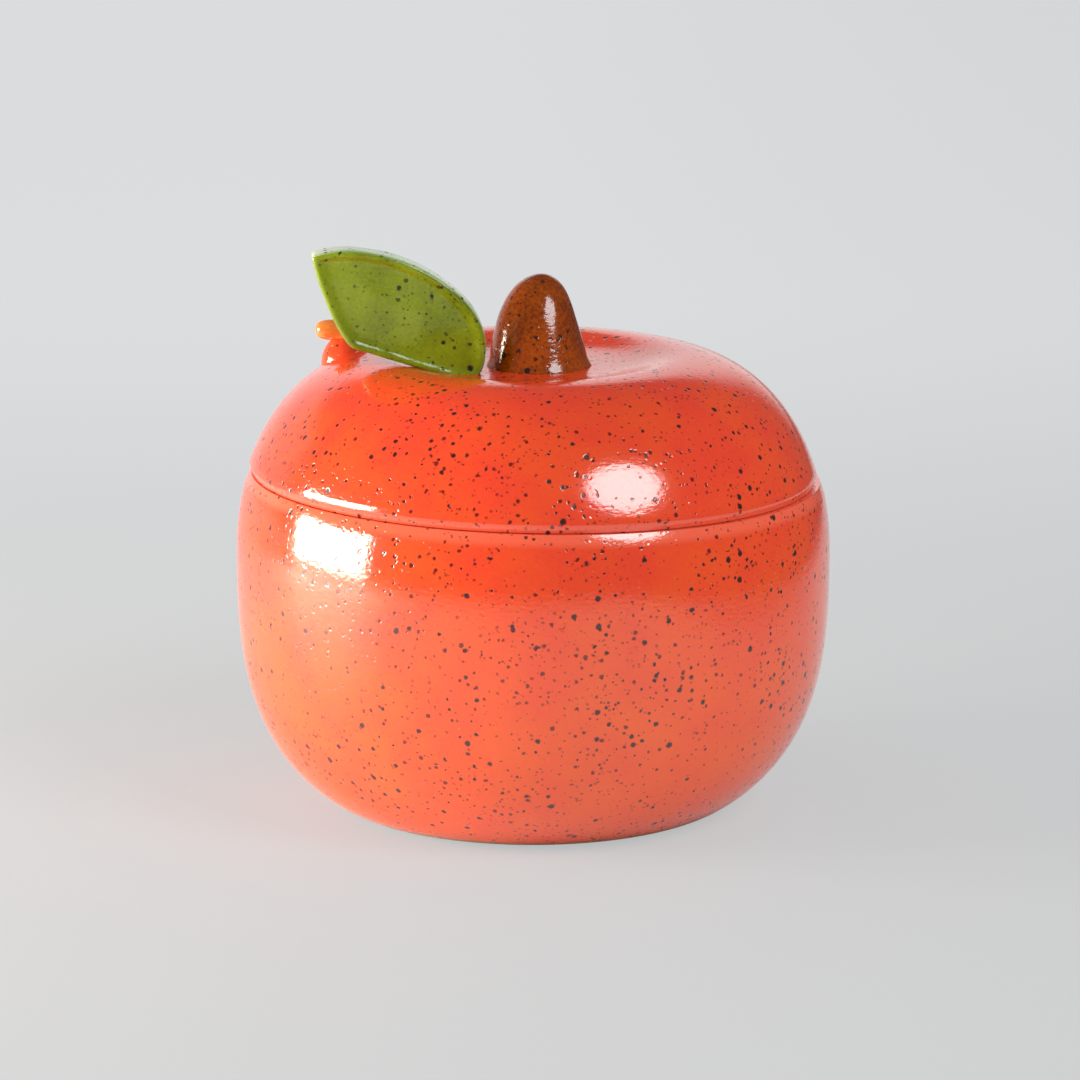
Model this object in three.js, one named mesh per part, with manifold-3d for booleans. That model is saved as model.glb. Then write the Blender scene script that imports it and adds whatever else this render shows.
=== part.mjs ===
import * as THREE from 'three';
import { mergeVertices } from 'three/addons/utils/BufferGeometryUtils.js';
import Module from 'manifold-3d';

// A lidded stoneware jar in the shape of an apple. The apple is thrown as one closed form and cut
// into a pot and a lid by hand, so the cut leans a little. The lid hangs a locating flange inside
// the mouth and carries a gumdrop stem for a knob, a thick leaf and a small worm.
// Millimetres, +Z up, -Y to the front. The origin is the middle of the foot, on the table.

// Driving dimensions

// The apple's outside
const bellyRadius = 60;
const bellyHeight = 51.9;
const footRadius = 38;
const lowerFullness = 2.89;
const crestRadius = 29.8;
const upperFullness = 2.07;

// The foot ring that the pot stands on
const footEase = 0.8;
const footRingWidth = 7;
const recessDepth = 1.2;

// The cut between pot and lid
const seamRise = 15.6;
const lidRise = 24.6;
const seamTilt = 1.25;
const seatGap = 0.3;

// Walls
const wall = 5;
const floorThickness = 7;
const rimWidth = 6;
const potEdgeWidth = 1.1;
const potEdgeHeight = 2.6;
const lidInset = 0.1;
const lidEdgeWidth = 0.5;
const lidEdgeHeight = 1.4;

// The locating flange under the lid
const flangeDepth = 8.5;
const flangeWall = 4.2;
const flangeClearance = 0.9;
const flangeFootRoom = 2;
const ledgeHeight = 3;
const ledgeBlend = 5;

// The dish on the lid and the stem in its middle
const dishDepth = 2.2;
const dishPower = 1.6;
const stemRadius = 10.2;
const stemHeight = 18.4;
const stemPower = 0.345;
const stemOffset = 1.6;
const stemSeatMargin = 0.8;

// The leaf: a slab that stands beside the stem on its root
const leafLength = 34.2;
const leafHeight = 26;
const leafThickness = 5.5;
const leafRounding = 1.3;
const leafRootLength = 8;
const leafRootDepth = 2.5;
const leafStemGap = 0.4;
const leafFront = 10.6;
const leafLean = 9;
const leafYaw = 4;

// The worm that looks out of a mound on the lid's shoulder
const moundReach = 39;
const moundBearing = 164.4;
const moundRadius = 5.8;
const moundHeight = 3;
const wormRadius = 2.15;
const wormHeadLength = 3.9;
const wormNeckLength = 4.4;
const wormHeadYaw = 6;

// Facets
const turnSegments = 48;
const knobSegments = 28;
const wormSegments = 14;

// Values worked out from the driving dimensions

const radians = THREE.MathUtils.degToRad;
const seamHeight = bellyHeight + seamRise;
const crestHeight = seamHeight + lidRise;
const seatHeight = crestHeight - dishDepth;
const lidUnderside = seamHeight + seatGap;
const mouthDepth = flangeDepth + flangeFootRoom;
const stemSeatRadius = stemRadius + stemSeatMargin + Math.abs(stemOffset);

// Each half of the outside is a superellipse that starts at the belly
const lowerReach = bellyHeight / (1 - (footRadius / bellyRadius) ** lowerFullness) ** (1 / lowerFullness);
const lowerHalf = { inner: 0, reach: -lowerReach, power: lowerFullness };
const upperHalf = { inner: crestRadius, reach: crestHeight - bellyHeight, power: upperFullness };

function outsidePoint(half, turn) {
  const across = Math.max(Math.cos(turn), 0) ** (2 / half.power);
  const along = Math.sin(turn) ** (2 / half.power);
  return new THREE.Vector2(half.inner + (bellyRadius - half.inner) * across, bellyHeight + half.reach * along);
}

function turnAtHeight(half, height) {
  const along = (height - bellyHeight) / half.reach;
  return Math.asin(Math.min(along, 1) ** (half.power / 2));
}

function outsideBetween(half, fromHeight, toHeight, steps) {
  const from = turnAtHeight(half, fromHeight);
  const to = turnAtHeight(half, toHeight);
  return Array.from({ length: steps + 1 }, (_, i) => outsidePoint(half, THREE.MathUtils.lerp(from, to, i / steps)));
}

const outsideRadius = (half, height) => outsidePoint(half, turnAtHeight(half, height)).x;

const seamRadius = outsideRadius(upperHalf, seamHeight);
const mouthRadius = seamRadius - rimWidth;
const flangeOuter = mouthRadius - flangeClearance;
const flangeInner = flangeOuter - flangeWall;
const lidShift = flangeClearance / 2;

// Height of the leaning cut at a point, above its height on the axis
const seamLean = (radius, angle) => -Math.tan(radians(seamTilt)) * radius * Math.cos(angle);

// Profile helpers. A profile runs with the clay on its left hand.

const point = (radius, height) => new THREE.Vector2(radius, height);

function roundedEdge(start, width, height, steps) {
  return Array.from({ length: steps + 1 }, (_, i) => {
    const turn = (i / steps) * (Math.PI / 2);
    return point(start.x - width * (1 - Math.cos(turn)), start.y + height * Math.sin(turn));
  });
}

function offsetToLeft(points, distance) {
  return points.map((here, i) => {
    const before = points[Math.max(i - 1, 0)];
    const after = points[Math.min(i + 1, points.length - 1)];
    const along = after.clone().sub(before).normalize();
    return point(here.x - along.y * distance, here.y + along.x * distance);
  });
}

// The lid's top: a dish that rises from the flat under the stem to the crest
function dish(steps) {
  return Array.from({ length: steps }, (_, i) => {
    const share = 1 - (i + 1) / steps;
    const rise = (1 - Math.cos(Math.PI * share ** dishPower)) / 2;
    return point(THREE.MathUtils.lerp(stemSeatRadius, crestRadius, share), seatHeight + dishDepth * rise);
  });
}

// Solid helpers

// Turns a profile, which may change with the angle, about +Z. It starts and ends on the axis or closes on itself.
function revolve(profileAt, segments) {
  const profiles = Array.from({ length: segments }, (_, i) => profileAt((i / segments) * 2 * Math.PI));
  const rows = profiles[0].length;
  const onAxis = profiles[0].map((p) => p.x === 0);
  const closesOnAxis = onAxis[0] && onAxis[rows - 1];
  const positions = [];
  profiles.forEach((profile, i) => {
    const angle = (i / segments) * 2 * Math.PI;
    profile.forEach((p) => positions.push(p.x * Math.cos(angle), p.x * Math.sin(angle), p.y));
  });
  const index = [];
  for (let i = 0; i < segments; i += 1) {
    const here = i * rows;
    const next = ((i + 1) % segments) * rows;
    for (let j = 0; j < (closesOnAxis ? rows - 1 : rows); j += 1) {
      const k = (j + 1) % rows;
      if (!onAxis[j]) index.push(here + j, next + j, here + k);
      if (!onAxis[k]) index.push(next + j, next + k, here + k);
    }
  }
  const geometry = new THREE.BufferGeometry();
  geometry.setAttribute('position', new THREE.Float32BufferAttribute(positions, 3));
  geometry.setIndex(index);
  return mergeVertices(geometry);
}

const wasm = await Module();
wasm.setup();

function toSolid(geometry) {
  const bare = geometry.clone();
  bare.deleteAttribute('normal');
  bare.deleteAttribute('uv');
  const merged = mergeVertices(bare);
  return new wasm.Manifold(new wasm.Mesh({
    numProp: 3,
    vertProperties: new Float32Array(merged.attributes.position.array),
    triVerts: new Uint32Array(merged.index.array),
  }));
}

function toGeometry(solid) {
  const mesh = solid.getMesh();
  const geometry = new THREE.BufferGeometry();
  geometry.setAttribute('position', new THREE.BufferAttribute(mesh.vertProperties, 3));
  geometry.setIndex(new THREE.BufferAttribute(mesh.triVerts, 1));
  return geometry;
}

function piece(name, geometry, color, roughness) {
  geometry.computeVertexNormals();
  const material = new THREE.MeshStandardMaterial({ color, roughness, metalness: 0 });
  const mesh = new THREE.Mesh(geometry, material);
  mesh.name = name;
  return mesh;
}

// Pot

function potProfile(angle) {
  const cut = (radius) => seamHeight + seamLean(radius, angle);
  const flatEdge = footRadius - footEase;
  const recessEdge = flatEdge - footRingWidth;
  const edgeStart = cut(seamRadius) - potEdgeHeight;
  const upper = outsideBetween(upperHalf, bellyHeight, edgeStart, 4).slice(1);
  const rimStart = upper[upper.length - 1];
  const innerTop = seamHeight - mouthDepth - ledgeBlend;
  const inner = offsetToLeft([
    ...outsideBetween(lowerHalf, 0, bellyHeight, 14),
    ...outsideBetween(upperHalf, bellyHeight, innerTop, 1).slice(1),
  ], wall).filter((p) => p.y > floorThickness);
  const floorEdge = inner[0].x - wall / 2;
  return [
    point(0, recessDepth),
    point(recessEdge - recessDepth, recessDepth),
    point(recessEdge, 0),
    point(flatEdge, 0),
    ...outsideBetween(lowerHalf, footEase, bellyHeight, 12),
    ...upper,
    ...roundedEdge(rimStart, potEdgeWidth, cut(rimStart.x - potEdgeWidth) - rimStart.y, 4).slice(1),
    point(mouthRadius, cut(mouthRadius)),
    point(mouthRadius, cut(mouthRadius) - mouthDepth),
    ...inner.reverse(),
    point(floorEdge, floorThickness),
    point(0, floorThickness),
  ];
}

// Lid and its flange

const lidTop = (fromHeight, steps) => [
  ...outsideBetween(upperHalf, fromHeight, crestHeight, steps).map((p) => point(p.x - lidInset, p.y)),
  ...dish(7),
];

function lidProfile(angle) {
  const cut = (radius) => lidUnderside + seamLean(radius, angle);
  const edgeTop = cut(seamRadius) + lidEdgeHeight;
  const top = lidTop(edgeTop, 13);
  const edge = top[0];
  const edgeFoot = edge.x - lidEdgeWidth;
  const edgeRound = [0, 1, 2, 3].map((i) => {
    const turn = (i / 4) * (Math.PI / 2);
    return point(edgeFoot + lidEdgeWidth * Math.sin(turn),
      edge.y - (edge.y - cut(edgeFoot)) * Math.cos(turn));
  });
  const hollow = offsetToLeft(lidTop(lidUnderside + ledgeHeight + ledgeBlend, 9), wall);
  return [
    point(0, seatHeight - wall),
    ...hollow.reverse(),
    point(flangeInner, cut(flangeInner) + ledgeHeight),
    point(flangeInner, cut(flangeInner)),
    ...edgeRound,
    ...top,
    point(0, seatHeight),
  ];
}

function flangeProfile(angle) {
  const top = (radius) => lidUnderside - seatGap + seamLean(radius, angle);
  return [
    point(flangeInner, top(flangeInner) - flangeDepth),
    point(flangeOuter, top(flangeOuter) - flangeDepth),
    point(flangeOuter, top(flangeOuter)),
    point(flangeInner, top(flangeInner)),
  ];
}

// The space that the clay details on the lid have to stay out of: the lid's outside, grown by the gap
function lidClearance() {
  const grown = offsetToLeft([...lidTop(seamHeight, 16), point(0, seatHeight)], -seatGap);
  grown[grown.length - 1].x = 0;
  return toSolid(revolve(() => [point(0, seamHeight), point(grown[0].x, seamHeight), ...grown], turnSegments));
}

// Stem

function stemProfile() {
  const rows = 11;
  const dome = Array.from({ length: rows }, (_, i) => {
    const depth = 1 - Math.sin((i / rows) * (Math.PI / 2));
    return point(stemRadius * depth ** stemPower, stemHeight * (1 - depth));
  });
  return [point(0, 0), ...dome, point(0, stemHeight)];
}

// Leaf: outlined from its tip over the top edge to the root, then back along the lower edge.
// The curves' points are shares of the leaf's length, back from the root, and of its height.

function leafGeometry() {
  const at = (back, up) => [-back * leafLength, up * leafHeight];
  const outline = new THREE.Shape();
  outline.moveTo(...at(1, 0.95));
  outline.bezierCurveTo(...at(0.6, 1.14), ...at(0.02, 0.68), ...at(0, 0.27));
  outline.lineTo(0, -leafRootDepth);
  outline.lineTo(-leafRootLength, -leafRootDepth);
  outline.quadraticCurveTo(...at(0.5, 0.12), ...at(0.72, 0.23));
  outline.quadraticCurveTo(...at(0.92, 0.46), ...at(1, 0.95));
  const slab = new THREE.ExtrudeGeometry(outline, {
    depth: leafThickness - 2 * leafRounding,
    bevelThickness: leafRounding,
    bevelSize: leafRounding,
    bevelOffset: -leafRounding,
    bevelSegments: 3,
    curveSegments: 9,
  });
  slab.translate(0, 0, leafRounding - leafThickness);
  slab.rotateX(Math.PI / 2 + radians(leafLean));
  slab.rotateZ(radians(leafYaw));
  slab.translate(stemOffset - stemRadius - leafStemGap, -leafFront, seatHeight);
  return toGeometry(toSolid(slab).subtract(lidClearance()));
}

// Worm and its mound, made in a frame that stands on the lid's shoulder

const moundTurn = Math.acos(((moundReach - crestRadius) / (bellyRadius - crestRadius)) ** (upperFullness / 2));
const moundFoot = outsidePoint(upperHalf, moundTurn);
const moundPlace = new THREE.Matrix4()
  .makeRotationZ(radians(moundBearing))
  .setPosition(
    moundFoot.x * Math.cos(radians(moundBearing)),
    moundFoot.x * Math.sin(radians(moundBearing)),
    moundFoot.y,
  );

function moundGeometry(growth) {
  const dome = new THREE.SphereGeometry(1, 24, 12);
  dome.rotateX(Math.PI / 2);
  dome.scale(moundRadius + growth, moundRadius + growth, moundHeight + growth);
  dome.rotateY(Math.asin((moundReach - crestRadius) / (bellyRadius - crestRadius)));
  return dome.applyMatrix4(moundPlace);
}

function wormGeometry() {
  const neck = new THREE.CapsuleGeometry(wormRadius, wormNeckLength, 5, wormSegments);
  neck.rotateX(Math.PI / 2);
  neck.translate(0, 0, wormNeckLength / 2);
  const head = new THREE.CapsuleGeometry(wormRadius, wormHeadLength, 5, wormSegments);
  head.rotateZ(-Math.PI / 2);
  head.translate(wormHeadLength / 2, 0, wormNeckLength);
  head.rotateZ(radians(180 + wormHeadYaw - moundBearing));
  const worm = toSolid(neck.applyMatrix4(moundPlace)).add(toSolid(head.applyMatrix4(moundPlace)));
  return toGeometry(worm.subtract(toSolid(moundGeometry(seatGap))).subtract(lidClearance()));
}

// The jar

const redGlaze = 0xd9452b;
const bareClay = 0xb98f6c;
const brownGlaze = 0x8a3d0c;
const greenGlaze = 0x7d8414;
const orangeGlaze = 0xf07a28;
const glossy = 0.18;
const matt = 0.85;

const lidOnPot = new THREE.Group();
lidOnPot.position.x = -lidShift;
lidOnPot.add(piece('lid_flange', revolve(flangeProfile, turnSegments), bareClay, matt));
lidOnPot.add(piece('lid', revolve(lidProfile, turnSegments), redGlaze, glossy));

const stem = piece('stem', revolve(stemProfile, knobSegments), brownGlaze, glossy);
stem.position.set(stemOffset, 0, seatHeight);
lidOnPot.add(stem);
lidOnPot.add(piece('leaf', leafGeometry(), greenGlaze, glossy));
lidOnPot.add(piece('worm_mound', toGeometry(toSolid(moundGeometry(0)).subtract(lidClearance())), redGlaze, glossy));
lidOnPot.add(piece('worm', wormGeometry(), orangeGlaze, glossy));

const jar = new THREE.Group();
jar.add(piece('pot', revolve(potProfile, turnSegments), redGlaze, glossy));
jar.add(lidOnPot);

export default jar;
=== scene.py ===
# %% [markdown]
# # A lidded stoneware jar in the shape of an apple
# The jar is thrown as one closed form and cut in two with a wire. The lower part is the pot and the
# upper part is the lid. A gumdrop of clay on the lid is the apple's stem and the knob to lift it by, a
# thick leaf stands beside the stem, and a small worm looks out of a mound behind the leaf.
# All of it is glazed over a clay that is full of dark iron specks.
# The imported CAD model is the frame: it is loaded first, nothing in it is moved, and each piece that is
# modelled below takes the place of one CAD node. Its box is kept.

# %% Load the frame
import math

import bpy
from mathutils import Matrix, Vector


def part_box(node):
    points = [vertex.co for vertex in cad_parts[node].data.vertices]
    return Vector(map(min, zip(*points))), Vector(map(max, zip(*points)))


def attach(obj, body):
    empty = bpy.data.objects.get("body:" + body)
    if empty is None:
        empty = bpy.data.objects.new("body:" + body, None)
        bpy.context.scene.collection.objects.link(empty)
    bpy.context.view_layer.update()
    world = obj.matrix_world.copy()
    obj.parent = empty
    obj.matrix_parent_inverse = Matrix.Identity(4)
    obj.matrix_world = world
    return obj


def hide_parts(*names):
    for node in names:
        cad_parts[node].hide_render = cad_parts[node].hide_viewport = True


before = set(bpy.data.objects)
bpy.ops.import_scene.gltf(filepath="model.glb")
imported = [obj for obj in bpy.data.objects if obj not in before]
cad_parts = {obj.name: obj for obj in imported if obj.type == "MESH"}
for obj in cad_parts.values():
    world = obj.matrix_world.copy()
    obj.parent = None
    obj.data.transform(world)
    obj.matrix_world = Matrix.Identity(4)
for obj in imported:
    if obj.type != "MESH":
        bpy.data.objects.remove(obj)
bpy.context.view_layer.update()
MM = 0.001

# %% [markdown]
# ## The camera
# The picture was taken from a little above, from more than a metre away, with a long lens: the jar's
# upright sides stay parallel and its foot and seam are flat ellipses. The height of the ellipses gives
# the camera's dip, and how their flatness changes from foot to seam gives its distance.
# So the camera is placed by these measured values and not by eye.

# %% Place the camera
CAMERA_PLACE = (0.00135, -1.13225, 0.30478)
CAMERA_DIP = math.radians(12.5)
LENS_MM = 190.8
SENSOR_MM = 36

bpy.ops.object.select_all(action="DESELECT")
bpy.ops.object.camera_add(location=CAMERA_PLACE, rotation=(math.pi / 2 - CAMERA_DIP, 0, 0))
camera = bpy.context.object
camera.name = "photo_camera"
camera.data.sensor_width = SENSOR_MM
camera.data.lens = LENS_MM
bpy.context.scene.camera = camera
print("camera at", CAMERA_PLACE, "dips", round(math.degrees(CAMERA_DIP), 1), "degrees")

# %% [markdown]
# ## The apple's outside
# Pot and lid share one outside, because they were one form before the cut. It could be drawn as a free
# curve, but two superellipses that meet at the belly give it with seven numbers: the belly's and the
# crest's radius and height, the foot's radius, and how full each half is. The belly's radius and the
# crest's height are read from the frame, so that they are the CAD model's own.

# %% The apple's curve
BELLY_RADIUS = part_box("pot")[1].x
BELLY_HEIGHT = 51.9 * MM
FOOT_RADIUS = 38 * MM
LOWER_FULLNESS = 2.89
CREST_RADIUS = 29.8 * MM
CREST_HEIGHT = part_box("lid")[1].z
UPPER_FULLNESS = 2.07
UPPER_REACH = CREST_HEIGHT - BELLY_HEIGHT
LOWER_REACH = BELLY_HEIGHT / (1 - (FOOT_RADIUS / BELLY_RADIUS) ** LOWER_FULLNESS) ** (1 / LOWER_FULLNESS)


def outside_radius(height):
    """Radius of the apple's outside at a height."""
    if height < BELLY_HEIGHT:
        share = (BELLY_HEIGHT - height) / LOWER_REACH
        return BELLY_RADIUS * (1 - share ** LOWER_FULLNESS) ** (1 / LOWER_FULLNESS)
    share = min((height - BELLY_HEIGHT) / UPPER_REACH, 1)
    across = (1 - share ** UPPER_FULLNESS) ** (1 / UPPER_FULLNESS)
    return CREST_RADIUS + (BELLY_RADIUS - CREST_RADIUS) * across


def outside_curve(low, high, steps):
    """Points (radius, height) up the outside, closer together where the curve turns over at its ends."""
    power, reach = (LOWER_FULLNESS, -LOWER_REACH) if high <= BELLY_HEIGHT else (UPPER_FULLNESS, UPPER_REACH)
    first = math.asin(((low - BELLY_HEIGHT) / reach) ** (power / 2))
    last = math.asin(min((high - BELLY_HEIGHT) / reach, 1) ** (power / 2))
    turns = [first + (last - first) * i / steps for i in range(steps + 1)]
    heights = [BELLY_HEIGHT + reach * max(math.sin(turn), 0) ** (2 / power) for turn in turns]
    return [(outside_radius(height), height) for height in heights]


def offset_inward(points, distance):
    """The same run of points, moved to the left of its direction: the inside of a wall."""
    moved = []
    for i, (radius, height) in enumerate(points):
        before = Vector(points[max(i - 1, 0)])
        along = (Vector(points[min(i + 1, len(points) - 1)]) - before).normalized()
        moved.append((radius - along.y * distance, height + along.x * distance))
    return moved


def bend(start, corner, end, steps=6):
    """A rounded corner: the points of a quadratic curve after its start."""
    points = []
    for i in range(1, steps + 1):
        t = i / steps
        points.append(tuple((1 - t) ** 2 * a + 2 * t * (1 - t) * b + t * t * c
                            for a, b, c in zip(start, corner, end)))
    return points


print("belly", round(BELLY_RADIUS / MM, 1), "mm, crest at", round(CREST_HEIGHT / MM, 1), "mm")

# %% [markdown]
# ## From a profile to a turned form
# A potter's wheel turns a profile into a form, and so does the Spin operator. A profile starts as one
# vertex, a small plane merged to its centre, which is extruded from point to point. Spin then sweeps it
# round an upright axis. The swept mesh meets itself at the start and at the poles, so its doubles are
# merged and its normals are turned outwards afterwards.

# %% Draw and turn a profile
TURN_STEPS = 192
SMOOTH_ANGLE = math.radians(35)
MERGE_REACH = MM / 500


def draw_chain(name, points):
    """One vertex, extruded from point to point. Leaves the new object in edit mode."""
    bpy.ops.object.select_all(action="DESELECT")
    bpy.ops.mesh.primitive_plane_add(size=MM)
    piece = bpy.context.object
    piece.name = name
    piece.data.name = name
    bpy.ops.object.mode_set(mode="EDIT")
    bpy.ops.mesh.select_mode(type="VERT")
    bpy.ops.mesh.merge(type="CENTER")
    bpy.ops.transform.translate(value=points[0])
    for here, there in zip(points, points[1:]):
        step = Vector(there) - Vector(here)
        bpy.ops.mesh.extrude_vertices_move(TRANSFORM_OT_translate={"value": step})
    bpy.ops.mesh.select_all(action="SELECT")
    return piece


def close_mesh():
    """Merge the doubles of the mesh in edit mode, face it outwards and go back to object mode."""
    bpy.ops.mesh.select_all(action="SELECT")
    bpy.ops.mesh.remove_doubles(threshold=MERGE_REACH)
    bpy.ops.mesh.normals_make_consistent(inside=False)
    bpy.ops.object.mode_set(mode="OBJECT")
    bpy.ops.object.shade_smooth_by_angle(angle=SMOOTH_ANGLE)


def turn_form(name, profile, centre_x, steps=TURN_STEPS):
    """A form turned from a profile of (radius, height) points about an upright axis."""
    piece = draw_chain(name, [(centre_x + radius, 0, height) for radius, height in profile])
    bpy.ops.mesh.spin(steps=steps, angle=2 * math.pi, center=(centre_x, 0, 0), axis=(0, 0, 1))
    close_mesh()
    return piece


def tell(piece):
    """Print a finished piece's size and face count."""
    size = [round(length / MM, 1) for length in piece.dimensions]
    print(piece.name, "measures", size, "mm,", len(piece.data.polygons), "faces")


# %% [markdown]
# ## The seam leans
# The cut between pot and lid was made by hand, and it drops a little to the right. Tilting the two whole
# pieces would tilt the apple too. So only a band of heights near the seam is lifted on one side and
# lowered on the other, and each point slides along the apple's own curve, which stays as it was.

# %% Lean the seam
SEAM_HEIGHT = 67.5 * MM
SEAM_SLOPE = math.tan(math.radians(1.25))


def lean_seam(piece, centre_x, low, high, fade):
    """Lean the heights between low and high with the seam. The lean fades out beyond them."""
    for vertex in piece.data.vertices:
        across = vertex.co.x - centre_x
        height = vertex.co.z
        beyond = min(max(low - height, height - high, 0) / fade, 1)
        held = 1 - beyond * beyond * (3 - 2 * beyond)
        leaned = height - SEAM_SLOPE * across * held
        radius = max(math.hypot(across, vertex.co.y), MM)
        widened = 1 + (outside_radius(leaned) - outside_radius(height)) / radius
        vertex.co = (centre_x + across * widened, vertex.co.y * widened, leaned)


def wobble_by_hand(piece, depth, patch):
    """Push the surface in and out by soft clouds, because a hand-made wall is never quite true."""
    clouds = bpy.data.textures.new(piece.name + "_wobble", "CLOUDS")
    clouds.noise_scale = patch
    wobble = piece.modifiers.new("wobble", "DISPLACE")
    wobble.texture = clouds
    wobble.texture_coords = "LOCAL"
    wobble.strength = depth
    bpy.context.view_layer.objects.active = piece
    bpy.ops.object.modifier_apply(modifier="wobble")


print("the seam drops", round(2 * BELLY_RADIUS * SEAM_SLOPE / MM, 1), "mm from left to right")

# %% [markdown]
# ## The pot
# The pot is a bowl with a wall of 5 mm, a foot ring with a shallow recess inside it, a softly chamfered
# rim and a thicker mouth that the lid's flange hangs in. One closed profile runs from the middle of the
# recess round the foot, up the outside, over the rim and down the inside to the middle of the floor.

# %% Turn the pot
WALL = 5 * MM
FLOOR = 7 * MM
RECESS_DEPTH = 1.2 * MM
FOOT_RING_WIDTH = 7 * MM
FOOT_EASE = 0.8 * MM
RIM_WIDTH = 6 * MM
RIM_ROUND_WIDTH = 1.1 * MM
RIM_ROUND_HEIGHT = 2.7 * MM
EDGE_EASE = 0.45
MOUTH_EASE = 0.7 * MM
MOUTH_DEPTH = 10.5 * MM
LEDGE_BLEND = 5 * MM
MOUTH_RADIUS = outside_radius(SEAM_HEIGHT) - RIM_WIDTH
GLAZE_LINE = MOUTH_RADIUS + 0.6 * RIM_WIDTH


def eased_corner(wall, seat):
    """The corner of a rim's soft chamfer, between a point on the wall and one on the seat."""
    return (wall[0] + (seat[0] - wall[0]) * EDGE_EASE, seat[1] + (wall[1] - seat[1]) * EDGE_EASE)


def pot_profile():
    """The pot from the middle of its recess, round the outside, to the middle of its floor."""
    ring_outer = FOOT_RADIUS - FOOT_EASE
    ring_inner = ring_outer - FOOT_RING_WIDTH
    ease_top = (outside_radius(2 * FOOT_EASE), 2 * FOOT_EASE)
    rim_start = (outside_radius(SEAM_HEIGHT - RIM_ROUND_HEIGHT), SEAM_HEIGHT - RIM_ROUND_HEIGHT)
    rim_end = (rim_start[0] - RIM_ROUND_WIDTH, SEAM_HEIGHT)
    mouth_top = (MOUTH_RADIUS + MOUTH_EASE, SEAM_HEIGHT)
    mouth_foot = SEAM_HEIGHT - MOUTH_DEPTH
    inside = offset_inward(outside_curve(FOOT_EASE, BELLY_HEIGHT, 26), WALL)
    inside = [point for point in inside if point[1] > FLOOR + WALL]
    floor_corner = (inside[0][0] - WALL / 2, FLOOR)
    points = [(0, RECESS_DEPTH), (ring_inner - 2 * RECESS_DEPTH, RECESS_DEPTH)]
    points += bend(points[-1], (ring_inner - RECESS_DEPTH / 2, RECESS_DEPTH), (ring_inner, 0), 4)
    points += [(ring_inner + FOOT_EASE, 0), (ring_outer - FOOT_EASE, 0)]
    points += bend(points[-1], (FOOT_RADIUS, 0), ease_top)
    points += outside_curve(2 * FOOT_EASE, BELLY_HEIGHT, 30)[1:]
    points += outside_curve(BELLY_HEIGHT, rim_start[1], 8)[1:]
    points += bend(rim_start, eased_corner(rim_start, rim_end), rim_end, 8)
    points += [(GLAZE_LINE, SEAM_HEIGHT), mouth_top]
    points += bend(mouth_top, (MOUTH_RADIUS, SEAM_HEIGHT), (MOUTH_RADIUS, SEAM_HEIGHT - MOUTH_EASE), 4)
    points += [(MOUTH_RADIUS, mouth_foot)]
    points += bend((MOUTH_RADIUS, mouth_foot), (MOUTH_RADIUS, mouth_foot - LEDGE_BLEND / 2), inside[-1])
    points += inside[-2::-1]
    points += bend(inside[0], floor_corner, (floor_corner[0] - WALL, FLOOR))
    return points + [(0, FLOOR)]


pot = turn_form("pot_body", pot_profile(), 0)
lean_seam(pot, 0, SEAM_HEIGHT - MOUTH_DEPTH, SEAM_HEIGHT, LEDGE_BLEND * 2)
tell(pot)

# %% [markdown]
# ## The lid
# The lid is the apple's top. Its outside goes on from the pot's, so it uses the same curve, ends at the
# crest and falls into a shallow dish round the stem. Below it is hollow, with a flat seat on the pot's
# rim. It sits a hair off the pot's middle, which its loose flange allows.

# %% Turn the lid
SEAT_GAP = 0.15 * MM
LID_INSET = 0.1 * MM
LID_ROUND_WIDTH = 0.55 * MM
LID_ROUND_HEIGHT = 1.7 * MM
LID_LEDGE = 3 * MM
FLANGE_CLEARANCE = 0.9 * MM
FLANGE_WALL = 4.2 * MM
FLANGE_OUTER = MOUTH_RADIUS - FLANGE_CLEARANCE
FLANGE_INNER = FLANGE_OUTER - FLANGE_WALL
DISH_DEPTH = 2.2 * MM
DISH_POWER = 1.6
DISH_STEPS = 16
STEM_SEAT_RADIUS = 12.6 * MM
LID_UNDERSIDE = SEAM_HEIGHT + SEAT_GAP
SEAT_HEIGHT = CREST_HEIGHT - DISH_DEPTH
LID_X = -FLANGE_CLEARANCE / 2


def lid_top(low, steps):
    """The lid's outside from a height up to the crest and down into the dish."""
    points = [(radius - LID_INSET, height) for radius, height in outside_curve(low, CREST_HEIGHT, steps)]
    for i in range(1, DISH_STEPS + 1):
        share = 1 - i / DISH_STEPS
        rise = (1 - math.cos(math.pi * share ** DISH_POWER)) / 2
        radius = STEM_SEAT_RADIUS + (CREST_RADIUS - STEM_SEAT_RADIUS) * share
        points.append((radius, SEAT_HEIGHT + DISH_DEPTH * rise))
    return points


def lid_profile():
    """The lid from the middle of its ceiling, round its edge, to the middle of its dish."""
    ledge_top = LID_UNDERSIDE + LID_LEDGE
    hollow = offset_inward(lid_top(ledge_top + LEDGE_BLEND, 20), WALL)[::-1]
    top = lid_top(LID_UNDERSIDE + LID_ROUND_HEIGHT, 36)
    edge_foot = (top[0][0] - LID_ROUND_WIDTH, LID_UNDERSIDE)
    points = [(0, SEAT_HEIGHT - WALL)] + hollow
    points += bend(hollow[-1], (FLANGE_INNER, ledge_top + LEDGE_BLEND / 2), (FLANGE_INNER, ledge_top))
    points += [(FLANGE_INNER, LID_UNDERSIDE), (GLAZE_LINE, LID_UNDERSIDE), edge_foot]
    points += bend(edge_foot, eased_corner(top[0], edge_foot), top[0])
    return points + top[1:] + [(0, SEAT_HEIGHT)]


lid = turn_form("lid_dome", lid_profile(), LID_X)
lean_seam(lid, LID_X, LID_UNDERSIDE, LID_UNDERSIDE + LID_LEDGE, LEDGE_BLEND * 2)
tell(lid)

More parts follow.
